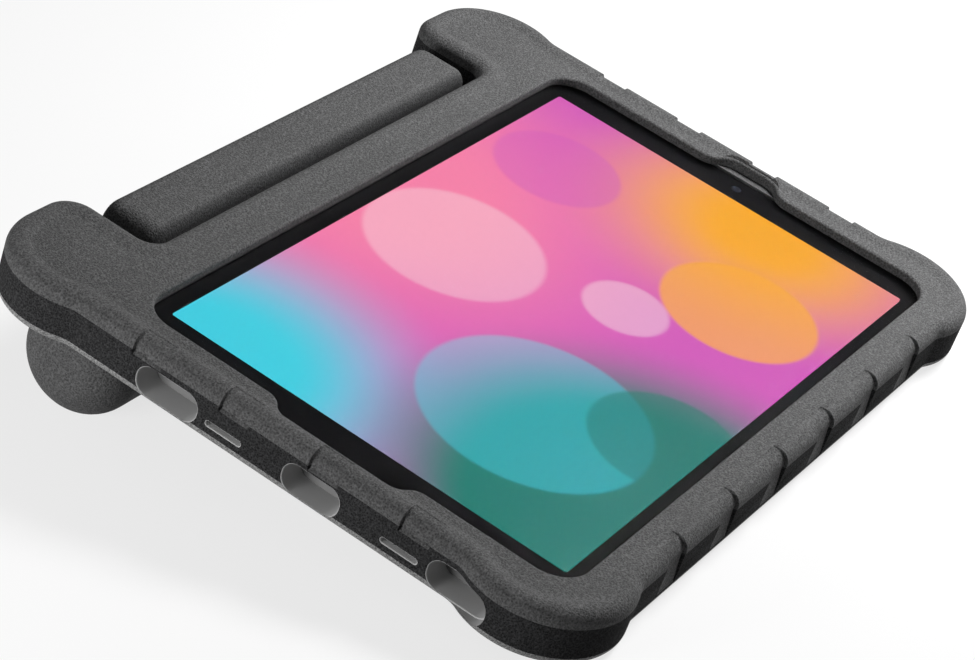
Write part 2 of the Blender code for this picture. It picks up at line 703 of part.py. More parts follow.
def main():
    clear_scene()
    home = collection("kids_tablet_case")
    tools = collection("joined_and_cut_shapes")
    cutters = collection("shell_cutters")
    foam = material("grey_foam", (0.11, 0.11, 0.111), 0.85)
    plastic = material("black_plastic", (0.02, 0.02, 0.022), 0.5)
    housing = material("tablet_shell", (0.34, 0.34, 0.345), 0.4, 0.3)
    finishes = {
        "glass": material("cover_glass", (0.02, 0.02, 0.022), 0.05),
        "display": material("display", (0.62, 0.33, 0.5), 0.3),
        "border": material("black_print", (0.01, 0.01, 0.011), 0.4),
        "lens": material("lens", (0.015, 0.015, 0.03), 0.1),
    }
    shell(home, tools, cutters, foam)
    handle(home, tools, foam)
    for side in (-1, 1):
        hinge_peg(side, home, plastic)
    tablet_housing(home, tools, housing)
    screen_stack(home, tools, finishes)
    rear_camera(home, finishes["lens"])
    root = bpy.data.objects.new("case_frame", None)
    home.objects.link(root)
    for group in (home, tools, cutters):
        for obj in group.objects:
            if obj is not root:
                obj.parent = root
    stand_on_table(home, root)


main()
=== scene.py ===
"""Looks for a foam tablet case with a folding handle: grained foam, a glossy tablet and a plain studio.

Everything is laid out in the case's own frame, where the middle of the glass is the origin, X runs
toward the front camera, Y toward the handle and Z out of the glass, and is then tipped as the case rests.
"""

import json
import math
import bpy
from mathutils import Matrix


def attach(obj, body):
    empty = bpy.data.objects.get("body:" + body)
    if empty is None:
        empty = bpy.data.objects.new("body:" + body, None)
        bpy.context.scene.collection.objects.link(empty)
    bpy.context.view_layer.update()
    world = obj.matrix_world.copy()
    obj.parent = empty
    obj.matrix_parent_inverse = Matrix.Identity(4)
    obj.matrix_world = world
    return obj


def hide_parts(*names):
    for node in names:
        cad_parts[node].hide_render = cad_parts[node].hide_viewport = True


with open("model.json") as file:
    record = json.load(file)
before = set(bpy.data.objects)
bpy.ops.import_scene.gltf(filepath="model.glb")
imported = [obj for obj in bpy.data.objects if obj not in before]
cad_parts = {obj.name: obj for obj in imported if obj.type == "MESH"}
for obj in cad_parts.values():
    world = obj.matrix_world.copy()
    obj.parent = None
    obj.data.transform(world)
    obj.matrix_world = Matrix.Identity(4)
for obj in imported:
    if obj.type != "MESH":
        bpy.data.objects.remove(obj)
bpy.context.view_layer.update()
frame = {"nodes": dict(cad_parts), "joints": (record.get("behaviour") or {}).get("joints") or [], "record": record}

from types import SimpleNamespace

import bmesh
import bpy
from bpy.props import FloatProperty, FloatVectorProperty, IntProperty, PointerProperty
from mathutils import Matrix, Vector

bl_info = {
    "name": "Foam tablet case",
    "version": (1, 0, 0),
    "blender": (4, 5, 0),
    "location": "View3D > Sidebar > Tablet Case",
    "description": "Builds the looks of a foam tablet case round its packed frame",
    "category": "Add Mesh",
}

MM = 0.001
BACK_FACE = frame["record"]["mounts"][0]
HINGE = frame["joints"][0]
FINE_ARC = math.radians(3.0)
SHARP = math.radians(32.0)
SUPPORT = 0.35 * MM
HAIR = 0.01 * MM
OVERCUT = 0.1 * MM
# Top of the painted shade on the upright walls, and how far in from the wall faces it reaches.
WALL_TOP = -1.0 * MM
WALL_SKIN = 0.15 * MM
COARSE_GRAIN = 0.6 * MM
RECESS_FULL = -1.5 * MM
RECESS_FOOT = -2.4 * MM
POCKET_ROUND = 2.4 * MM
POCKET_TOP = 0.06 * MM
SIDES = {-1: "left", 1: "right"}


def length(name, value, note):
    """A size in millimetres, shown in the scene's own unit."""
    return FloatProperty(name=name, description=note, default=value * MM, unit="LENGTH", precision=4)


def colour(name, value, note):
    return FloatVectorProperty(name=name, description=note, default=value, subtype="COLOR",
                               size=3, min=0, max=1)


class TabletSizes(bpy.types.PropertyGroup):
    """The tablet that the foam is moulded round."""

    half_length: length("Half length", 122.6, "Half the tablet's long side")
    half_width: length("Half width", 74.7, "Half the tablet's short side")
    thickness: length("Thickness", 7.5, "The tablet's thickness")
    corner: length("Corner", 9.5, "Radius of the tablet's corners")
    border_ends: length("Border at the ends", 13.9, "Black border between the display and each short side")


class FoamSizes(bpy.types.PropertyGroup):
    """The shell's walls, lip, lobes and openings."""

    fit: length("Fit", 0.3, "Gap between pieces that touch")
    running: length("Running gap", 0.5, "Gap between the handle's hubs and the shell")
    short_wall: length("Short wall", 8.9, "Foam beyond the tablet's short sides")
    front_wall: length("Front wall", 11.3, "Foam in front of the tablet")
    handle_wall: length("Handle wall", 14.3, "Foam between the tablet and the handle's bay")
    back_wall: length("Back wall", 6.2, "Foam behind the tablet")
    lip_top: length("Lip height", 3.0, "Height of the lip over the glass")
    lip_ends: length("Lip over the ends", 4.0, "How far the lip covers the glass at the short sides")
    lip_sides: length("Lip over the sides", 1.4, "How far the lip covers the glass at the long sides")
    lip_round: length("Lip round", 1.0, "Radius of the lip's upper edge")
    window_corner: length("Window corner", 11.0, "Radius of the window's corners")
    bead_rise: length("Bead rise", 1.0, "How far the outer rim stands above the lip")
    bead_round: length("Bead round", 4.0, "Radius of the outer rim")
    bead_width: length("Bead width", 9.0, "Width of the rim and its inner slope")
    bottom_round: length("Bottom round", 3.0, "Radius of the lower edge")


class LobeSizes(bpy.types.PropertyGroup):
    """The bumpers on the four corners."""

    front_radius: length("Front radius", 26.0, "Radius of the front lobes")
    front_past_end: length("Front past end", 4.3, "How far a front lobe stands past the short wall")
    front_past_side: length("Front past side", 2.6, "How far a front lobe stands past the front wall")
    rear_radius: length("Rear radius", 24.0, "Radius of the rear lobes")
    rear_past_end: length("Rear past end", 2.9, "How far a rear lobe stands past the short wall")
    rear_reach: length("Rear reach", 31.8, "How far a rear lobe reaches past the handle wall")
    rear_width: length("Rear width", 42.9, "Width of a rear lobe")
    rear_inner: length("Rear inner radius", 10.0, "Radius of a rear lobe's inner corner")
    fillet: length("Fillet", 9.0, "Radius between a lobe and a wall")
    bay_fillet: length("Bay fillet", 5.5, "Radius in the corners of the handle's bay")


class OpeningSizes(bpy.types.PropertyGroup):
    """The ports, the speaker slots, the rear camera's window and the notches of the front window."""

    port_pitch: length("Port pitch", 50.0, "Spacing of the three ports along the near wall")
    port_width: length("Port width", 21.0, "Width of the two outer ports")
    centre_width: length("Centre width", 19.0, "Width of the middle port")
    port_floor: length("Port floor", 2.0, "Foam below the ports")
    port_top: length("Port top", 2.8, "How far the ports' tops lie below the glass")
    port_corner: length("Port corner", 4.2, "Radius of the ports' corners")
    slot_place: length("Slot place", 30.0, "From the middle of the wall to a speaker slot")
    slot_width: length("Slot width", 12.0, "Width of a speaker slot")
    slot_drop: length("Slot drop", 7.9, "How far the speaker slots lie below the glass")
    slot_height: length("Slot height", 1.6, "Height of a speaker slot")
    slot_corner: length("Slot corner", 0.72, "Radius of a speaker slot's ends")
    camera_x: length("Camera X", 100.6, "Place of the rear camera's window along the case")
    camera_y: length("Camera Y", 52.7, "Place of the rear camera's window across the case")
    camera_radius: length("Camera radius", 9.0, "Radius of the rear camera's window")
    camera_flare: length("Camera flare", 1.5, "Bevel round the rear camera's window")
    near_notch: length("Near notch", 5.3, "Depth of the notch at the port end of the front window")
    near_flat: length("Near flat", 34.0, "Length of that notch's straight part")
    near_fillet: length("Near fillet", 6.0, "Radii of that notch")
    far_notch: length("Far notch", 7.2, "Depth of the notch round the front camera")
    far_flat: length("Far flat", 10.0, "Length of that notch's straight part")
    far_fillet: length("Far fillet", 7.0, "Radii of that notch")


class GripSizes(bpy.types.PropertyGroup):
    """The shallow recesses that cross the outer rim."""

    width: length("Width", 10.0, "Width of a recess")
    depth: length("Depth", 1.1, "Depth of a recess")
    reach: length("Reach", 6.0, "How far a recess runs in from the wall")
    edge: length("Edge", 0.4, "Width of the soft step at a recess's edge")
    side_count: IntProperty(name="Side count", description="Recesses along the front", default=6)
    side_pitch: length("Side pitch", 31.3, "Spacing along the front")
    end_count: IntProperty(name="End count", description="Recesses on each short side", default=4)
    end_pitch: length("End pitch", 30.6, "Spacing along the short sides")
    end_centre: length("End centre", 13.0, "Middle of the rows on the short sides")


class HandleSizes(bpy.types.PropertyGroup):
    """The folding bar and its hinge."""

    width: length("Bar width", 20.2, "Width of the bar")
    gap: length("Gap", 3.0, "Gap between the bar and the shell")
    end_gap: length("End gap", 4.0, "Gap between the bar's ends and the rear lobes")
    end_round: length("End round", 7.5, "Rounding of the bar's ends")
    top: length("Bar top", 3.0, "Height of the bar's top over the glass")
    round: length("Bar round", 4.5, "Rounding along the bar")
    knuckle_radius: length("Knuckle radius", 18.5, "Radius of the barrels under the rear lobes")
    knuckle_dome: length("Knuckle dome", 13.0, "Rounding of the barrels' outer ends")
    knuckle_inset: length("Knuckle inset", 8.0, "From the lobe's end to the barrel's end")
    hinge_drop: length("Hinge drop", 11.0, "How far the hinge lies below the back")
    hinge_inset: length("Hinge inset", 1.2, "How far the hinge lies inside the handle wall")
    hub_radius: length("Hub radius", 17.0, "Radius of the handle's round ends")
    hub_width: length("Hub width", 22.0, "Width of the handle's round ends")
    hub_round: length("Hub round", 2.5, "Rounding of the hubs")
    peg_radius: length("Peg radius", 4.0, "Radius of the hinge pegs")
    peg_head: length("Peg head", 7.5, "Radius of a peg's head")
    peg_head_depth: length("Peg head depth", 2.4, "Thickness of a peg's head")
    peg_seat: length("Peg seat", 20.0, "How deep a peg sits in the shell")


class Finishes(bpy.types.PropertyGroup):
    """Colours of the foam, the tablet and the display, with painted shade on the walls and at the openings' inner
    ends, and painted light on the lower edge and inside the openings.
    """

    foam: colour("Foam", (0.090, 0.090, 0.091), "The grey foam")
    # Painted shade: the Wall colour is a darker foam tone that stands for shade on the upright walls and on the
    # handle bar's sides.
    wall: colour("Wall", (0.035, 0.035, 0.036), "The coarser foam on the upright walls")
    # Painted highlight: the Lower edge colour is a lighter foam tone that stands for the bright rim of light along
    # the lower edge.
    edge: colour("Lower edge", (0.20, 0.20, 0.20), "The lighter foam round the lower edge")
    # Painted light: the pale Skin colour stands for light inside the port openings; the smooth cut surface itself
    # is real.
    skin: colour("Skin", (0.48, 0.48, 0.48), "The smooth skin inside the port openings")
    # Painted shade: the darker Deep skin colour stands for shade at the inner end of the port openings.
    painted_shade_skin: colour("Painted shade skin", (0.18, 0.18, 0.18), "The skin at the inner end of the port openings")
    plastic: colour("Plastic", (0.02, 0.02, 0.022), "The hinge pegs")
    housing: colour("Housing", (0.14, 0.14, 0.144), "The tablet's back and frame")
    border: colour("Border", (0.006, 0.006, 0.007), "The black border round the display")
    sky: colour("Display blue", (0.05, 0.62, 0.76), "Blue field of the display")
    teal: colour("Display teal", (0.005, 0.20, 0.16), "Green field of the display")
    pink: colour("Display pink", (0.95, 0.22, 0.40), "Pink field of the display")
    magenta: colour("Display magenta", (0.66, 0.10, 0.50), "Magenta field of the display")
    orange: colour("Display orange", (0.98, 0.42, 0.01), "Orange field of the display")


class StudioSizes(bpy.types.PropertyGroup):
    """Camera and lamps."""

    azimuth: FloatProperty(name="Azimuth", description="Way the camera looks, from +Y toward +X",
                           default=68.397)
    elevation: FloatProperty(name="Elevation", description="How far the camera looks down",
                             default=32.522)
    roll: FloatProperty(name="Roll", description="Turn of the camera about its own axis", default=20.236)
    offset: FloatVectorProperty(name="Offset", description="Case's middle as the camera sees it",
                                default=(0.022874, 0.007935, 0.895974), unit="LENGTH")
    lens: FloatProperty(name="Lens", description="Focal length in millimetres", default=109.68)
    key: FloatProperty(name="Key light", description="Strength of the key lamp in watts", default=5.2)
    fill: FloatProperty(name="Fill light", description="Strength of the fill lamp in watts", default=1.6)
    room: FloatProperty(name="Room light", description="Strength of the grey room", default=0.10)
    floor: FloatProperty(name="Floor", description="How pale the floor is to light on the case", default=0.22)
    glow: FloatProperty(name="Floor glow", description="Share of plain white in the floor seen", default=0.74)


def layout(scene):
    """Works out the levels and edges that follow from the sizes."""
    tablet, foam, lobe, bar = scene.case_tablet, scene.case_foam, scene.case_lobes, scene.case_handle
    at = SimpleNamespace()
    at.pocket = -tablet.thickness - foam.fit
    at.back = at.pocket - foam.back_wall
    at.crown = foam.lip_top + foam.bead_rise
    at.end = tablet.half_length + foam.fit + foam.short_wall
    at.front = -tablet.half_width - foam.fit - foam.front_wall
    at.rear = tablet.half_width + foam.fit + foam.handle_wall
    at.lobe_rear = at.rear + lobe.rear_reach
    at.lobe_inner = at.end + lobe.rear_past_end - lobe.rear_width
    at.hinge_y = at.rear - bar.hinge_inset
    at.hinge_z = at.back - bar.hinge_drop
    at.bar_inner = at.rear + bar.gap
    at.bar_half = at.lobe_inner - bar.end_gap
    at.hub_inner = at.lobe_inner - foam.running - bar.hub_width
    at.knuckle = at.lobe_inner + foam.running
    at.knuckle_end = at.end + lobe.rear_past_end - bar.knuckle_inset
    at.slot_end = -tablet.half_length
    at.slot_mouth = -at.end - lobe.front_past_end - foam.fit
    return at


def resting_place(at):
    """Carries the case's own frame to where it rests: its back gives the tilt and its hinge the place."""
    normal = Vector(BACK_FACE["axis"])
    turn = Matrix.Rotation(math.atan2(normal.y, -normal.z), 4, "X")
    return Matrix.Translation(Vector(HINGE["pos_m"]) - turn @ Vector((0, at.hinge_y, at.hinge_z))) @ turn


# Outlines and sections


def belt(circles):
    """A closed line round signed circles (x, y, radius), as (centre, radius, normal) samples."""
    normals = []
    for index, (x, y, radius) in enumerate(circles):
        next_x, next_y, next_radius = circles[(index + 1) % len(circles)]
        step = Vector((next_x - x, next_y - y))
        along = step.normalized()
        cosine = (next_radius - radius) / step.length
        left = Vector((-along.y, along.x))
        normals.append(along * cosine + left * math.sqrt(max(0.0, 1 - cosine * cosine)))
    samples = []
    for index, (x, y, radius) in enumerate(circles):
        first, last = normals[index - 1], normals[index]
        turn = math.atan2(first.x * last.y - first.y * last.x, first.dot(last))
        if radius > 0 and turn < 0:
            turn += 2 * math.pi
        steps = max(1, round(abs(turn) / FINE_ARC))
        start = math.atan2(first.y, first.x)
        for number in range(steps + 1):
            angle = start + turn * number / steps
            samples.append((Vector((x, y)), radius, Vector((math.cos(angle), math.sin(angle)))))
    points = [inset_point(sample, 0.0) for sample in samples]
    return [sample for index, sample in enumerate(samples)
            if (points[index] - points[index - 1]).length > HAIR]


def inset_point(sample, inset):
    centre, radius, normal = sample
    return centre - normal * (radius - inset)


def arc(across, up, radius, first, last, steps=8):
    points = []
    for number in range(steps + 1):
        angle = math.radians(first + (last - first) * number / steps)
        points.append((across + radius * math.cos(angle), up + radius * math.sin(angle)))
    return points


def inset_arc(centre, up, radius, first, last, steps=8):
    return [(-across, height) for across, height in arc(-centre, up, radius, first, last, steps)]


def rounded_box(half_x, half_y, corner, centre=(0.0, 0.0)):
    x, y = centre
    reach_x, reach_y = half_x - corner, half_y - corner
    return belt([
        (x - reach_x, y - reach_y, corner),
        (x + reach_x, y - reach_y, corner),
        (x + reach_x, y + reach_y, corner),
        (x - reach_x, y + reach_y, corner),
    ])


def loft(name, samples, section, mark=None):
    """A closed solid from an outline and its (inset, height) section; mark adds attributes to it."""
    bm = bmesh.new()
    rings = []
    for inset, height in section:
        points = [inset_point(sample, inset) for sample in samples]
        rings.append([bm.verts.new((point.x, point.y, height)) for point in points])
    for lower, upper in zip(rings, rings[1:]):
        for index in range(len(lower)):
            after = (index + 1) % len(lower)
            bm.faces.new((lower[index], lower[after], upper[after], upper[index]))
    bm.faces.new(list(reversed(rings[0])))
    bm.faces.new(rings[-1])
    if mark:
        mark(bm)
    return finish_mesh(name, bm)


def turned(name, profile, steps=96):
    """Turns (radius, height) points, listed from the top down the outside, about Z."""
    bm = bmesh.new()
    verts = [bm.verts.new((radius, 0, height)) for radius, height in profile]
    edges = [bm.edges.new(pair) for pair in zip(verts, verts[1:])]
    bmesh.ops.spin(bm, geom=verts + edges, axis=(0, 0, 1), cent=(0, 0, 0), steps=steps, angle=2 * math.pi)
    bmesh.ops.remove_doubles(bm, verts=bm.verts, dist=0.002 * MM)
    bmesh.ops.recalc_face_normals(bm, faces=bm.faces)
    return finish_mesh(name, bm)


def finish_mesh(name, bm):
    mesh = bpy.data.meshes.new(name)
    bm.to_mesh(mesh)
    bm.free()
    mesh.shade_smooth()
    obj = bpy.data.objects.new(name, mesh)
    bpy.context.scene.collection.objects.link(obj)
    return obj


def place(obj, matrix):
    obj.data.transform(matrix)
    return obj


def on_hinge(obj, at, side, x):
    """Lays a turned piece along the hinge with its top facing outward."""
    turn = Matrix.Rotation(side * math.pi / 2, 4, "Y")
    return place(obj, Matrix.Translation((side * x, at.hinge_y, at.hinge_z)) @ turn)


def carve(body, operation, others):
    """Joins or cuts the other shapes and removes them; a cut keeps its cutter's material."""
    for other in others:
        if not other.data.materials:
            other.data.materials.append(body.data.materials[0])
        step = body.modifiers.new(other.name, "BOOLEAN")
        step.operation = operation
        step.object = other
        step.solver = "EXACT"
        step.material_mode = "TRANSFER"
    settle(body)
    for other in others:
        bpy.data.objects.remove(other)


def settle(body):
    """Applies the modifiers, so that the result is a plain mesh."""
    graph = bpy.context.evaluated_depsgraph_get()
    mesh = bpy.data.meshes.new_from_object(body.evaluated_get(graph))
    body.modifiers.clear()
    body.data = mesh


def coat(body, material, low, high, within):
    """Gives faces between two heights their own finish, where a test of their middle and normal holds; here it
    lays painted shade on the walls and a painted highlight on the lower edge.
    """
    body.data.materials.append(material)
    finish = len(body.data.materials) - 1
    for face in body.data.polygons:
        if face.material_index == 0 and low < face.center.z < high and within(face.center, face.normal):
            face.material_index = finish


def paint_side_shade(body, foot):
    """Notes how far each point above the foot faces sideways, where the foam is painted darker as shade."""
    share = body.data.attributes.new("wall_share", "FLOAT", "POINT")
    for vert, item in zip(body.data.vertices, share.data):
        if vert.co.z > foot:
            item.value = smooth((abs(vert.normal.y) - 0.25) / 0.6)


def ready(body, matrix, node, rider):
    """Puts a finished piece in place of its node."""
    place(body, matrix)
    body.data.shade_smooth()
    body.data.set_sharp_from_angle(angle=SHARP)
    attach(body, rider)
    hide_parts(node)


# Geometry nodes


class Tree:
    """Adds nodes to a tree in short lines, with inputs given by name."""

    def __init__(self, tree):
        self.tree = tree

    def node(self, kind, settings=None, **inputs):
        made = self.tree.nodes.new(kind)
        for name, value in (settings or {}).items():
            setattr(made, name, value)
        for name, value in inputs.items():
            self.put(made.inputs[name.replace("_", " ")], value)
        return made

    def put(self, socket, value):
        if isinstance(value, bpy.types.NodeSocket):
            self.tree.links.new(value, socket)
        else:
            socket.default_value = value

    def ramp(self, value, low, high, start=0.3, end=0.7):
        """Spreads a noise's middle values between two levels."""
        made = self.node("ShaderNodeMapRange", Value=value, From_Min=start, From_Max=end,
                         To_Min=low, To_Max=high)
        return made.outputs[0]

    def mix(self, share, below, above):
        """Mixes two colours, each a tint or a socket."""
        made = self.node("ShaderNodeMix", {"data_type": "RGBA"}, Factor=share)
        for socket, value in ((made.inputs[6], below), (made.inputs[7], above)):
            self.put(socket, value if isinstance(value, bpy.types.NodeSocket) else (*value, 1.0))
        return made.outputs[2]

    def level(self, share, low, high):
        """Mixes two plain values."""
        made = self.node("ShaderNodeMix", {"data_type": "FLOAT"}, Factor=share)
        self.put(made.inputs[2], low)
        self.put(made.inputs[3], high)
        return made.outputs[0]

    def surface(self, **inputs):
        """A shader with its inputs given by name, joined to the material's output."""
        made = self.node("ShaderNodeBsdfPrincipled", **inputs)
        self.node("ShaderNodeOutputMaterial", Surface=made.outputs[0])

    def maths(self, operation, *values, kind="ShaderNodeMath", result=0):
        made = self.tree.nodes.new(kind)
        made.operation = operation
        for socket, value in zip(made.inputs, values):
            self.put(socket, value)
        return made.outputs[result]


def recess_tree():
    """Sinks evenly spaced recesses into a wall, by the attributes that its vertices carry."""
    group = bpy.data.node_groups.new("Grip recesses", "GeometryNodeTree")
    face = group.interface
    face.new_socket("Geometry", in_out="INPUT", socket_type="NodeSocketGeometry")
    for name in ("Width", "Depth", "Edge", "Side Pitch", "Side Centre", "End Pitch", "End Centre"):
        face.new_socket(name, in_out="INPUT", socket_type="NodeSocketFloat")
    for name in ("Side Count", "End Count"):
        face.new_socket(name, in_out="INPUT", socket_type="NodeSocketInt")
    face.new_socket("Material", in_out="INPUT", socket_type="NodeSocketMaterial")
    face.new_socket("Geometry", in_out="OUTPUT", socket_type="NodeSocketGeometry")
    tree = Tree(group)
    source = tree.node("NodeGroupInput").outputs

    def held(name, kind):
        made = tree.node("GeometryNodeInputNamedAttribute", {"data_type": kind}, Name=name)
        return made.outputs["Attribute"]

    def row(along, pitch, count, centre):
        """How deep a point lies in the nearest recess of a row, from 0 to 1."""
        last = tree.maths("SUBTRACT", count, 1)
        first = tree.maths("MULTIPLY_ADD", tree.maths("MULTIPLY", last, -0.5), pitch, centre)
        number = tree.maths("ROUND", tree.maths("DIVIDE", tree.maths("SUBTRACT", along, first), pitch))
        number = tree.maths("MAXIMUM", tree.maths("MINIMUM", number, last), 0)
        middle = tree.maths("MULTIPLY_ADD", number, pitch, first)
        away = tree.maths("ABSOLUTE", tree.maths("SUBTRACT", along, middle))
        half = tree.maths("MULTIPLY", source["Width"], 0.5)
        soft = tree.maths("MULTIPLY", source["Edge"], 0.5)
        ramp = tree.node("ShaderNodeMapRange", {"interpolation_type": "SMOOTHSTEP"})
        for socket, value in zip(ramp.inputs, (away, tree.maths("ADD", half, soft),
                                               tree.maths("SUBTRACT", half, soft), 0.0, 1.0)):
            tree.put(socket, value)
        return ramp.outputs[0]

    side = row(held("along", "FLOAT"), source["Side Pitch"], source["Side Count"], source["Side Centre"])
    end = row(held("along", "FLOAT"), source["End Pitch"], source["End Count"], source["End Centre"])
    sunk = tree.maths("MULTIPLY_ADD", side, held("side_share", "FLOAT"),
                      tree.maths("MULTIPLY", end, held("end_share", "FLOAT")))
    offset = tree.node("ShaderNodeVectorMath", {"operation": "SCALE"})
    tree.put(offset.inputs[0], held("inward", "FLOAT_VECTOR"))
    tree.put(offset.inputs["Scale"], tree.maths("MULTIPLY", sunk, source["Depth"]))
    moved = tree.node("GeometryNodeSetPosition", Geometry=source["Geometry"], Offset=offset.outputs[0])
    whole = tree.node("GeometryNodeRealizeInstances", Geometry=moved.outputs[0])
    dressed = tree.node("GeometryNodeSetMaterial", Geometry=whole.outputs[0], Material=source["Material"])
    tree.node("NodeGroupOutput", Geometry=dressed.outputs[0])
    return group


def run_tree(body, group, **inputs):
    """Runs a tree on an object with its inputs set by their sockets' identifiers."""
    step = body.modifiers.new(group.name, "NODES")
    step.node_group = group
    for item in group.interface.items_tree:
        key = item.name.lower().replace(" ", "_")
        if item.in_out == "INPUT" and key in inputs:
            step[item.identifier] = inputs[key]
    settle(body)


# The shell


def shell_outline(at, foam, lobe):
    front_x = at.end + lobe.front_past_end - lobe.front_radius
    front_y = at.front - lobe.front_past_side + lobe.front_radius
    rear_x = at.end + lobe.rear_past_end - lobe.rear_radius
    rear_y = at.lobe_rear - lobe.rear_radius
    fillet_x = at.end + lobe.fillet
    front_reach = lobe.front_radius + lobe.fillet
    rear_reach = lobe.rear_radius + lobe.fillet
    low_y = front_y + math.sqrt(front_reach**2 - (fillet_x - front_x) ** 2)
    high_y = rear_y - math.sqrt(rear_reach**2 - (fillet_x - rear_x) ** 2)
    front_fillet_y = at.front - lobe.fillet
    front_fillet_x = front_x - math.sqrt(front_reach**2 - (front_fillet_y - front_y) ** 2)
    right = [
        (front_fillet_x, front_fillet_y, -lobe.fillet),
        (front_x, front_y, lobe.front_radius),
        (fillet_x, low_y, -lobe.fillet),
        (fillet_x, high_y, -lobe.fillet),
        (rear_x, rear_y, lobe.rear_radius),
        (at.lobe_inner + lobe.rear_inner, at.lobe_rear - lobe.rear_inner, lobe.rear_inner),
        (at.lobe_inner - lobe.bay_fillet, at.rear + lobe.bay_fillet, -lobe.bay_fillet),
    ]
    return belt(right + [(-x, y, radius) for x, y, radius in reversed(right)])


def recess_edges(centre, pitch, count, width, edge):
    """Places along a wall where the recesses' soft steps need vertices."""
    places = []
    for number in range(count):
        middle = centre + (number - (count - 1) / 2) * pitch
        for side in (-1, 1):
            for share in (-0.5, -0.3, -0.15, 0.0, 0.15, 0.3, 0.5):
                places.append(middle + side * (width / 2 + share * edge))
    return places


def with_recess_samples(samples, at, grip):
    """Adds samples at the recesses' edges, and names the wall that each of these lies on."""
    side_places = recess_edges(0.0, grip.side_pitch, grip.side_count, grip.width, grip.edge)
    end_places = recess_edges(grip.end_centre, grip.end_pitch, grip.end_count, grip.width, grip.edge)
    full, walls = [], []
    for index, sample in enumerate(samples):
        here = inset_point(sample, 0.0)
        after = inset_point(samples[(index + 1) % len(samples)], 0.0)
        full.append(sample)
        on_front = max(abs(here.y - at.front), abs(after.y - at.front)) < HAIR
        on_end = max(abs(abs(here.x) - at.end), abs(abs(after.x) - at.end)) < HAIR
        walls.append(None)
        if not (on_front or on_end):
            continue
        axis, places = (0, side_places) if on_front else (1, end_places)
        low, high = sorted((here[axis], after[axis]))
        inside = sorted(place for place in places if low < place < high)
        if after[axis] < here[axis]:
            inside.reverse()
        for spot in inside:
            point = here.copy()
            point[axis] = spot
            full.append((point, 0.0, sample[2].copy()))
            walls.append("side" if on_front else "end")
    return full, walls


def rim_section(at, foam, grip):
    """The shell's side from its flat bottom to the flat lip, with (inset, height) and the share of a
    recess's depth on the front side and on the ends."""
    low = at.back + foam.bottom_round
    section = [(foam.bottom_round + SUPPORT, at.back)]
    section += inset_arc(foam.bottom_round, low, foam.bottom_round, -90, 0)
    section.append((0.0, low + SUPPORT))
    section += [(0.0, -drop * MM) for drop in (9, 7, 5, 3.5, 2.7, 2.3, 1.9, 1.5, 0.8)]
    section.append((0.0, -SUPPORT))
    section += inset_arc(foam.bead_round, at.crown - foam.bead_round, foam.bead_round, 0, 90, 12)
    inner = foam.bead_width - foam.bead_round
    reach = (grip.reach - foam.bead_round) / inner
    soft = grip.edge / 2 / inner
    shares = [0.1, 0.2, 0.6, 0.7, 0.8, 0.9, 1.0]
    shares += [reach + soft * part for part in (-1, -0.6, -0.3, 0, 0.3, 0.6, 1)]
    for share in sorted(shares):
        fall = foam.bead_rise * (1 - math.cos(math.pi * share)) / 2
        section.append((foam.bead_round + inner * share, at.crown - fall))
    section.append((foam.bead_width + SUPPORT, foam.lip_top))
    return section


def smooth(share):
    share = min(1.0, max(0.0, share))
    return share * share * (3 - 2 * share)


def recess_share(inset, height, low, foam, grip):
    """How much of a recess's depth a point of the section takes, above the given foot."""
    if height <= low:
        return 0.0
    if inset < foam.bead_round and height < RECESS_FULL:
        return 0.13 + 0.87 * (height - low) / (RECESS_FULL - low)
    return smooth((grip.reach + grip.edge / 2 - inset) / grip.edge) * (1 - 0.7 * smooth(inset / grip.reach))


def rough_shell(at, foam, lobe, grip, material):
    """The moulded block with its recesses sunk by geometry nodes."""
    samples, walls = with_recess_samples(shell_outline(at, foam, lobe), at, grip)
    section = rim_section(at, foam, grip)
    side_foot = at.back + foam.bottom_round
    slopes = []
    for row in range(len(section)):
        before, after = section[max(row - 1, 0)], section[min(row + 1, len(section) - 1)]
        run = Vector((after[0] - before[0], after[1] - before[1])).normalized()
        slopes.append((run.y, -run.x))

    def mark(bm):
        along, side_share, end_share = (bm.verts.layers.float.new(name)
                                        for name in ("along", "side_share", "end_share"))
        inward = bm.verts.layers.float_vector.new("inward")
        for index, vert in enumerate(bm.verts):
            row, column = divmod(index, len(samples))
            wall = walls[column]
            normal = samples[column][2]
            across, up = slopes[row]
            vert[along] = vert.co.x if wall == "side" else vert.co.y
            vert[side_share] = recess_share(*section[row], side_foot, foam, grip) if wall == "side" else 0.0
            vert[end_share] = recess_share(*section[row], RECESS_FOOT, foam, grip) if wall == "end" else 0.0
            vert[inward] = (normal.x * across, normal.y * across, up)

    block = loft("foam_shell", samples, section, mark)
    run_tree(block, recess_tree(), width=grip.width, depth=grip.depth, edge=grip.edge,
             side_pitch=grip.side_pitch, side_centre=0.0, side_count=grip.side_count,
             end_pitch=grip.end_pitch, end_centre=grip.end_centre, end_count=grip.end_count,
             material=material)
    return block


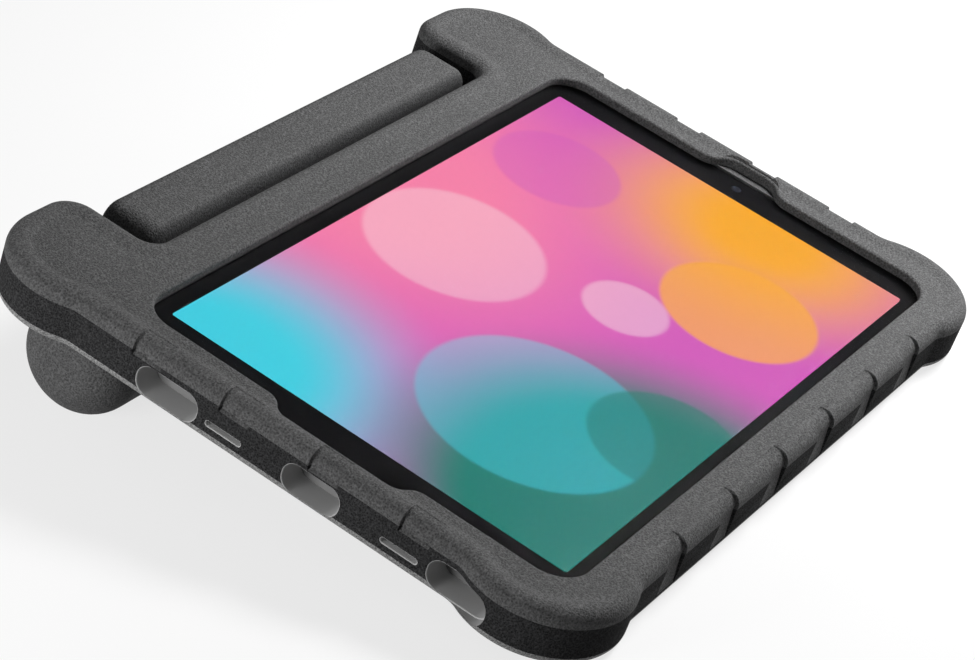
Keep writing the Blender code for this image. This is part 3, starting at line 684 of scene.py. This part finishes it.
def window_cut(at, tablet, foam, gap):
    half_x, half_y = tablet.half_length - foam.lip_ends, tablet.half_width - foam.lip_sides
    corner = foam.window_corner

    def notch(side, depth, flat, fillet):
        outer = (side * (half_x + depth - fillet), -flat / 2)
        rise = math.sqrt((2 * fillet) ** 2 - (2 * fillet - depth) ** 2)
        foot = (side * (half_x + fillet), -flat / 2 - rise)
        lower = [(*foot, -fillet), (*outer, fillet)]
        circles = lower + [(x, -y, radius) for x, y, radius in reversed(lower)]
        return circles if side > 0 else list(reversed(circles))

    outline = belt([
        (corner - half_x, corner - half_y, corner),
        (half_x - corner, corner - half_y, corner),
        *notch(1, gap.far_notch, gap.far_flat, gap.far_fillet),
        (half_x - corner, half_y - corner, corner),
        (corner - half_x, half_y - corner, corner),
        *notch(-1, gap.near_notch, gap.near_flat, gap.near_fillet),
    ])
    edge = foam.lip_top - foam.lip_round
    section = [(0.0, -foam.fit), (0.0, edge)]
    section += arc(-foam.lip_round, edge, foam.lip_round, 0, 84, 6)[1:]
    section.append((-2 * foam.lip_round, at.crown + foam.lip_round))
    return loft("window_cut", outline, section)


def pocket_cut(at, tablet, foam):
    fit = foam.fit
    samples = rounded_box(tablet.half_length + fit, tablet.half_width + fit, tablet.corner + fit)
    bottom = inset_arc(POCKET_ROUND, at.pocket + POCKET_ROUND, POCKET_ROUND, -90, 0, 4)
    return loft("pocket_cut", samples, bottom + [(0.0, POCKET_TOP)])


def wall_slot(name, at, skins, y, width, level, height, corner):
    """An opening through the port wall with a softened mouth; its inner cap has the darker skin, painted shade at
    the opening's inner end.
    """
    soft = SUPPORT
    section = [(-soft, at.slot_mouth), (-soft, -at.end - OVERCUT / 2)]
    for angle in (30, 60, 90):
        turn = math.radians(angle)
        section.append((-soft + soft * math.sin(turn), -at.end + soft * (1 - math.cos(turn))))
    section.append((0.0, at.slot_end))
    slot = loft(name, rounded_box(width / 2, height / 2, corner), section)
    for skin in skins:
        slot.data.materials.append(skin)
    # Painted shade: the inner cap takes the second, darker skin.
    slot.data.polygons[-1].material_index = 1
    return place(slot, Matrix(((0, 0, 1, 0), (1, 0, 0, y), (0, 1, 0, level), (0, 0, 0, 1))))


def port_cuts(at, gap, skins):
    """The three ports and the two speaker slots in the near wall."""
    bottom, top = at.back + gap.port_floor, -gap.port_top
    level, height = (bottom + top) / 2, top - bottom
    cuts = []
    for name, place_y, width in (("near_port", gap.port_pitch, gap.port_width),
                                 ("centre_port", 0.0, gap.centre_width),
                                 ("far_port", -gap.port_pitch, gap.port_width)):
        cuts.append(wall_slot(name, at, skins, place_y, width, level, height, gap.port_corner))
    for side in (-1, 1):
        cuts.append(wall_slot(f"speaker_{side}", at, skins, side * gap.slot_place, gap.slot_width,
                              -gap.slot_drop, gap.slot_height, gap.slot_corner))
    return cuts


def camera_cut(at, gap):
    """The bevelled round window over the rear camera."""
    top, radius, flare = at.pocket + POCKET_ROUND, gap.camera_radius, gap.camera_flare
    wide, low = radius + 2 * flare, at.back - 2 * flare
    profile = [(0, top), (radius, top), (radius, at.back + flare), (wide, at.back - flare),
               (wide, low), (0, low)]
    return place(turned("camera_window", profile, 64), Matrix.Translation((gap.camera_x, gap.camera_y, 0)))


def on_walls(at, sunk):
    """A test for faces on the upright walls, as deep as given, and round the lobes' corners."""
    return lambda spot, normal: (abs(spot.x) > at.end - sunk or spot.y < at.front + sunk
                                 or spot.y > at.rear - sunk or abs(normal.x * normal.y) > 0.05)


def hub_relief(at, foam, bar, side):
    radius = bar.hub_radius + foam.running
    near = at.hub_inner - foam.running
    span = at.knuckle + foam.fit - near
    relief = turned(f"relief_{side}", [(0, span), (radius, span), (radius, 0), (0, 0)])
    return on_hinge(relief, at, side, near)


def peg_seat(at, foam, bar, side):
    seat = bar.peg_radius + foam.fit
    depth = bar.peg_seat + foam.fit + foam.running
    hole = turned(f"seat_{side}", [(0, depth), (seat, depth), (seat, 0), (0, 0)], 48)
    return on_hinge(hole, at, side, at.lobe_inner - foam.running)


def knuckle(at, bar, side):
    span, radius, dome = at.knuckle_end - at.knuckle, bar.knuckle_radius, bar.knuckle_dome
    profile = [(0, span)] + arc(radius - dome, span - dome, dome, 90, 0, 16)
    profile += [(radius, SUPPORT), (radius - SUPPORT, 0), (0, 0)]
    return on_hinge(turned(f"knuckle_{SIDES[side]}", profile), at, side, at.knuckle)


def build_shell(scene):
    tablet, foam, lobe, gap = scene.case_tablet, scene.case_foam, scene.case_lobes, scene.case_openings
    grip, bar, finishes = scene.case_grips, scene.case_handle, scene.case_finishes
    at = layout(scene)
    # Painted light and shade: the pale skin lines the openings as painted light, and the darker deep skin at their
    # inner ends is painted shade.
    skins = (plain_material("Smooth skin with painted light", finishes.skin, 0.7),
             plain_material("Painted shade port skin", finishes.painted_shade_skin, 0.7))
    body = rough_shell(at, foam, lobe, grip, foam_material("Grey foam", finishes.foam))
    carve(body, "DIFFERENCE", [hub_relief(at, foam, bar, side) for side in SIDES])
    carve(body, "UNION", [knuckle(at, bar, side) for side in SIDES])
    cuts = [pocket_cut(at, tablet, foam), window_cut(at, tablet, foam, gap), *port_cuts(at, gap, skins)]
    cuts += [peg_seat(at, foam, bar, side) for side in SIDES]
    cuts.append(camera_cut(at, gap))
    carve(body, "DIFFERENCE", cuts)
    foot = at.back + foam.bottom_round
    # Painted shade: the upright walls between the foot and WALL_TOP take the dark Wall colour, which stands for
    # shade the lamps don't give.
    painted_wall_shade = foam_material("Painted wall shade foam", finishes.wall, COARSE_GRAIN, 0.9, 0.03)
    coat(body, painted_wall_shade, foot, WALL_TOP, on_walls(at, WALL_SKIN))
    # Painted highlight: the rounded lower edge takes the lighter, glossier Lower edge colour, which stands for the
    # light caught along it.
    painted_edge_highlight = foam_material("Painted highlight on lower edge", finishes.edge, COARSE_GRAIN, 1.0, 1.0)
    coat(body, painted_edge_highlight, at.back + OVERCUT, foot, on_walls(at, foam.bottom_round))
    ready(body, resting_place(at), "shell", "case")


def build_handle(scene):
    foam, bar = scene.case_foam, scene.case_handle
    at = layout(scene)
    low, high = at.back, bar.top
    samples = rounded_box(at.bar_half, (high - low) / 2, bar.end_round, (0.0, (low + high) / 2))
    near, far = -at.bar_inner - bar.width, -at.bar_inner
    section = [(bar.round + SUPPORT, near)] + inset_arc(bar.round, near + bar.round, bar.round, -90, 0, 12)
    section += [(0.0, near + bar.round + SUPPORT), (0.0, far - bar.round - SUPPORT)]
    section += inset_arc(bar.round, far - bar.round, bar.round, 0, 90, 12) + [(bar.round + SUPPORT, far)]
    body = place(loft("foam_handle", samples, section), Matrix.Rotation(math.pi / 2, 4, "X"))
    body.data.materials.append(foam_material("Handle foam", scene.case_finishes.foam))
    hubs, bores = [], []
    for side in SIDES:
        edge = bar.hub_radius - bar.hub_round
        profile = [(0, bar.hub_width)] + arc(edge, bar.hub_width - bar.hub_round, bar.hub_round, 90, 0)
        profile += arc(edge, bar.hub_round, bar.hub_round, 0, -90) + [(0, 0)]
        hubs.append(on_hinge(turned(f"hub_{SIDES[side]}", profile), at, side, at.hub_inner))
        bore, sink = bar.peg_radius + foam.fit, bar.peg_head + foam.fit
        sunk, end = bar.peg_head_depth + foam.fit, bar.hub_width + foam.fit
        profile = [(0, end), (bore, end), (bore, sunk), (sink, sunk), (sink, -foam.fit), (0, -foam.fit)]
        bores.append(on_hinge(turned(f"bore_{SIDES[side]}", profile, 48), at, side, at.hub_inner))
    carve(body, "UNION", hubs)
    carve(body, "DIFFERENCE", bores)
    # Painted shade: darkens the bar's sides by how far they face sideways.
    paint_side_shade(body, at.back)
    ready(body, resting_place(at), "handle", "folding_handle")


# Materials


def new_material(name):
    made = bpy.data.materials.new(name)
    made.use_nodes = True
    made.node_tree.nodes.clear()
    return made, Tree(made.node_tree)


def foam_material(name, tint, cell=0.65 * MM, contrast=0.75, gloss=0.25):
    """Matt foam with a leathery moulded grain, a fine pore noise and a slight mottle, darkened toward the Wall
    colour as painted shade by a side-shade attribute.
    """
    made, tree = new_material(name)
    where = tree.node("ShaderNodeTexCoord").outputs["Object"]
    grain = tree.node("ShaderNodeTexNoise", Vector=where, Scale=1.4 / cell, Detail=3.0, Roughness=0.62)
    cells = tree.node("ShaderNodeTexVoronoi", {"feature": "SMOOTH_F1"}, Vector=where, Scale=1 / cell,
                      Smoothness=0.4)
    mottle = tree.node("ShaderNodeTexNoise", Vector=where, Scale=46.0, Detail=3.0)
    height = tree.maths("MULTIPLY_ADD", cells.outputs["Distance"], 0.55, grain.outputs["Fac"])
    shade = tree.ramp(height, 1 - contrast, 1 + contrast, 0.45, 1.15)
    drift = tree.ramp(mottle.outputs["Fac"], 0.95, 1.05)
    # Painted shade: the attribute's share, set on the handle bar's sides, mixes the tint toward the dark Wall
    # colour.
    side = tree.node("ShaderNodeAttribute", {"attribute_name": "wall_share"}).outputs["Fac"]
    mixed = tree.node("ShaderNodeVectorMath", {"operation": "SCALE"})
    tree.put(mixed.inputs[0], tree.mix(side, tint, bpy.context.scene.case_finishes.wall))
    tree.put(mixed.inputs["Scale"], tree.maths("MULTIPLY", shade, drift))
    bump = tree.node("ShaderNodeBump", Strength=0.9, Distance=0.3 * MM, Height=height)
    tree.surface(Base_Color=mixed.outputs[0], Roughness=tree.ramp(grain.outputs["Fac"], 0.72, 0.88),
                 Normal=bump.outputs[0], Specular_IOR_Level=gloss)
    return made


def noisy_material(name, scale):
    """A new material with the noise that its roughness or tone follows."""
    made, tree = new_material(name)
    where = tree.node("ShaderNodeTexCoord").outputs["Object"]
    noise = tree.node("ShaderNodeTexNoise", Vector=where, Scale=scale, Detail=2.0)
    return made, tree, noise.outputs["Fac"]


def plain_material(name, tint, roughness, metallic=0.0, grain=0.06, scale=900.0, gloss=0.5):
    """A moulded or anodised finish with a faint change of roughness and a fine bump."""
    made, tree, noise = noisy_material(name, scale)
    bump = tree.node("ShaderNodeBump", Strength=0.15, Distance=0.03 * MM, Height=noise)
    tree.surface(Base_Color=(*tint, 1.0), Metallic=metallic, Normal=bump.outputs[0], Specular_IOR_Level=gloss,
                 Roughness=tree.ramp(noise, max(0.0, roughness - grain), roughness + grain))
    return made


def clear_glass():
    made, tree, smear = noisy_material("Clear cover glass", 30.0)
    tree.surface(Base_Color=(1, 1, 1, 1), Transmission_Weight=1.0, IOR=1.2,
                 Roughness=tree.ramp(smear, 0.01, 0.04, 0.0, 1.0))
    return made


def lens_material(name):
    made, tree, rings = noisy_material(name, 400.0)
    tree.surface(Base_Color=(0.02, 0.025, 0.045, 1), Coat_Weight=1.0,
                 Roughness=tree.ramp(rings, 0.04, 0.10, 0.0, 1.0))
    return made


def display_material(finishes, matrix, half_x):
    """Soft overlapping fields of colour with a few broad round shapes, in the display's own frame."""
    made, tree = new_material("Lit display")
    where = tree.node("ShaderNodeTexCoord").outputs["Object"]
    own = matrix.inverted()
    mapping = tree.node("ShaderNodeMapping", Vector=where)
    mapping.inputs["Rotation"].default_value = own.to_euler()
    mapping.inputs["Location"].default_value = own.to_translation()
    plane = tree.node("ShaderNodeVectorMath", {"operation": "MULTIPLY"})
    tree.put(plane.inputs[0], mapping.outputs[0])
    plane.inputs[1].default_value = (1 / half_x, 1 / half_x, 0)

    def disc(x, y, radius, soft):
        away = tree.maths("DISTANCE", plane.outputs[0], (x, y, 0), kind="ShaderNodeVectorMath",
                          result="Value")
        ramp = tree.node("ShaderNodeMapRange", {"interpolation_type": "SMOOTHSTEP"}, Value=away,
                         From_Min=radius + soft, From_Max=radius - soft)
        return ramp.outputs[0]

    pale = (1.0, 0.82, 0.86)
    face = finishes.magenta
    for tint, strength, *circle in (
        (finishes.pink, 1.0, 0.1, 0.7, 0.66, 0.42),
        (finishes.sky, 1.0, -1.05, 0.45, 0.46, 0.26),
        (finishes.orange, 1.0, 0.92, -0.18, 0.42, 0.30),
        (finishes.teal, 1.0, -0.66, -0.66, 0.66, 0.20),
        (pale, 0.30, -0.02, 0.36, 0.27, 0.012),
        (finishes.sky, 0.42, -0.50, -0.22, 0.33, 0.010),
        (finishes.orange, 0.72, 0.46, -0.34, 0.24, 0.010),
        (finishes.magenta, 0.45, 0.62, 0.40, 0.20, 0.012),
        (pale, 0.34, 0.16, -0.12, 0.13, 0.010),
        (finishes.teal, 0.62, -0.30, -0.52, 0.22, 0.010),
    ):
        face = tree.mix(tree.maths("MULTIPLY", disc(*circle), strength), face, tint)
    tree.surface(Base_Color=(0.01, 0.01, 0.012, 1), Roughness=0.3, Specular_IOR_Level=0.1,
                 Emission_Color=face, Emission_Strength=1.0)
    return made


def dress(node, material):
    mesh = frame["nodes"][node].data
    mesh.materials.clear()
    mesh.materials.append(material)


# Operators


class CASE_OT_shell(bpy.types.Operator):
    """Builds the foam shell with its lobes, lip, grip recesses and openings"""

    bl_idname = "case.shell"
    bl_label = "Foam shell"

    def execute(self, context):
        build_shell(context.scene)
        return {"FINISHED"}


class CASE_OT_handle(bpy.types.Operator):
    """Builds the foam bar and its two round hubs"""

    bl_idname = "case.handle"
    bl_label = "Foam handle"

    def execute(self, context):
        build_handle(context.scene)
        return {"FINISHED"}


class CASE_OT_pegs(bpy.types.Operator):
    """Gives the hinge pegs their moulded plastic"""

    bl_idname = "case.pegs"
    bl_label = "Hinge pegs"

    def execute(self, context):
        plastic = plain_material("Peg plastic", context.scene.case_finishes.plastic, 0.45)
        for node in ("hinge_peg_left", "hinge_peg_right"):
            dress(node, plastic)
        return {"FINISHED"}


class CASE_OT_tablet(bpy.types.Operator):
    """Gives the tablet its housing, glass, border, display and lenses"""

    bl_idname = "case.tablet"
    bl_label = "Tablet"

    def execute(self, context):
        scene = context.scene
        tablet, finishes = scene.case_tablet, scene.case_finishes
        matrix = resting_place(layout(scene))
        half_x = tablet.half_length - tablet.border_ends
        dress("tablet_housing", plain_material("Anodised housing", finishes.housing, 0.4, 0.3, 0.05, 1500.0))
        dress("cover_glass", clear_glass())
        dress("black_border", plain_material("Black print", finishes.border, 0.35, gloss=0.02))
        dress("display_panel", display_material(finishes, matrix, half_x))
        dress("front_camera", lens_material("Front lens"))
        dress("rear_camera", lens_material("Rear lens"))
        return {"FINISHED"}


def aim(obj, spot):
    obj.rotation_euler = (Vector(spot) - obj.location).to_track_quat("-Z", "Y").to_euler()


def softbox(name, spot, target, size, power):
    lamp = bpy.data.lights.new(name, "AREA")
    lamp.shape = "RECTANGLE"
    lamp.size, lamp.size_y = size
    lamp.energy = power
    obj = bpy.data.objects.new(name, lamp)
    bpy.context.scene.collection.objects.link(obj)
    obj.location = spot
    aim(obj, target)


def seen(tree):
    """1 for what the camera, glass and gloss see, 0 for light that falls on the object."""
    path = tree.node("ShaderNodeLightPath").outputs
    both = tree.maths("MAXIMUM", path["Is Camera Ray"], path["Is Glossy Ray"])
    return tree.maths("MAXIMUM", both, path["Is Transmission Ray"])


def studio_floor(studio):
    bm = bmesh.new()
    bmesh.ops.create_grid(bm, x_segments=8, y_segments=8, size=4.0)
    floor = finish_mesh("studio_floor", bm)
    made, tree, dust = noisy_material("Pale floor", 3.0)
    shown = seen(tree)
    pale = tree.ramp(dust, 0.86, 0.88, 0.0, 1.0)
    plain = tree.node("ShaderNodeBsdfDiffuse", Color=tree.level(shown, studio.floor, pale))
    white = tree.node("ShaderNodeEmission", Strength=1.0)
    blend = tree.node("ShaderNodeMixShader")
    tree.put(blend.inputs[0], tree.maths("MULTIPLY", shown, studio.glow))
    tree.put(blend.inputs[1], plain.outputs[0])
    tree.put(blend.inputs[2], white.outputs[0])
    tree.node("ShaderNodeOutputMaterial", Surface=blend.outputs[0])
    floor.data.materials.append(made)


def studio_room(strength):
    """A grey room that is white toward the horizon for what the camera, glass and gloss see."""
    world = bpy.data.worlds.new("Studio room")
    bpy.context.scene.world = world
    world.use_nodes = True
    world.node_tree.nodes.clear()
    tree = Tree(world.node_tree)
    way = tree.node("ShaderNodeTexCoord").outputs["Generated"]
    split = tree.node("ShaderNodeSeparateXYZ", Vector=way)
    rise = tree.ramp(split.outputs["Z"], 1.0, strength, 0.25, 0.45)
    back = tree.node("ShaderNodeBackground", Strength=tree.level(seen(tree), strength, rise))
    tree.node("ShaderNodeOutputWorld", Surface=back.outputs[0])


def add_camera(scene, studio, matrix):
    """The photograph's view: the solved direction, roll and distance in the case's own frame."""
    turn, drop, roll = (math.radians(angle) for angle in (studio.azimuth, studio.elevation, studio.roll))
    ahead = Vector((math.sin(turn) * math.cos(drop), math.cos(turn) * math.cos(drop), -math.sin(drop)))
    right = ahead.cross(Vector((0, 0, 1))).normalized()
    up = right.cross(ahead)
    right, up = right * math.cos(roll) + up * math.sin(roll), up * math.cos(roll) - right * math.sin(roll)
    x, y, z = studio.offset
    spot = -(right * x + up * y + ahead * z)
    pose = Matrix((right, up, -ahead)).transposed().to_4x4()
    pose.translation = spot
    camera = bpy.data.cameras.new("Camera")
    camera.sensor_width = 36.0
    camera.sensor_fit = "HORIZONTAL"
    camera.lens = studio.lens
    camera.clip_start = 0.01
    obj = bpy.data.objects.new("Camera", camera)
    scene.collection.objects.link(obj)
    obj.matrix_world = matrix @ pose
    scene.camera = obj


class CASE_OT_studio(bpy.types.Operator):
    """Sets the pale floor, the soft lamps, the grey room and the camera"""

    bl_idname = "case.studio"
    bl_label = "Studio"

    def execute(self, context):
        scene = context.scene
        studio = scene.case_studio
        studio_floor(studio)
        studio_room(studio.room)
        softbox("Key", (0.36, -0.15, 0.44), (0.14, -0.03, 0.03), (0.18, 0.18), studio.key)
        softbox("Fill", (-0.52, 0.16, 0.10), (-0.12, 0.04, 0.02), (0.24, 0.08), studio.fill)
        add_camera(scene, studio, resting_place(layout(scene)))
        scene.view_settings.view_transform = "Standard"
        return {"FINISHED"}


class CASE_PT_panel(bpy.types.Panel):
    """Lists the case's pieces in the sidebar"""

    bl_label = "Tablet Case"
    bl_idname = "CASE_PT_panel"
    bl_space_type = "VIEW_3D"
    bl_region_type = "UI"
    bl_category = "Tablet Case"

    def draw(self, context):
        for step in STEPS:
            self.layout.operator(step.bl_idname)
        for group in GROUPS:
            held = getattr(context.scene, group)
            box = self.layout.box()
            for name in held.bl_rna.properties.keys():
                if name not in ("rna_type", "name"):
                    box.prop(held, name)


STEPS = (CASE_OT_shell, CASE_OT_handle, CASE_OT_pegs, CASE_OT_tablet, CASE_OT_studio)
GROUPS = {
    "case_tablet": TabletSizes,
    "case_foam": FoamSizes,
    "case_lobes": LobeSizes,
    "case_openings": OpeningSizes,
    "case_grips": GripSizes,
    "case_handle": HandleSizes,
    "case_finishes": Finishes,
    "case_studio": StudioSizes,
}


def register():
    for name, group in GROUPS.items():
        bpy.utils.register_class(group)
        setattr(bpy.types.Scene, name, PointerProperty(type=group))
    for kind in (*STEPS, CASE_PT_panel):
        bpy.utils.register_class(kind)


def unregister():
    for kind in (CASE_PT_panel, *reversed(STEPS)):
        bpy.utils.unregister_class(kind)
    for name, group in reversed(list(GROUPS.items())):
        delattr(bpy.types.Scene, name)
        bpy.utils.unregister_class(group)


def main():
    register()
    bpy.ops.case.studio()
    bpy.ops.case.shell()
    bpy.ops.case.handle()
    bpy.ops.case.pegs()
    bpy.ops.case.tablet()


if __name__ == "__main__":
    main()
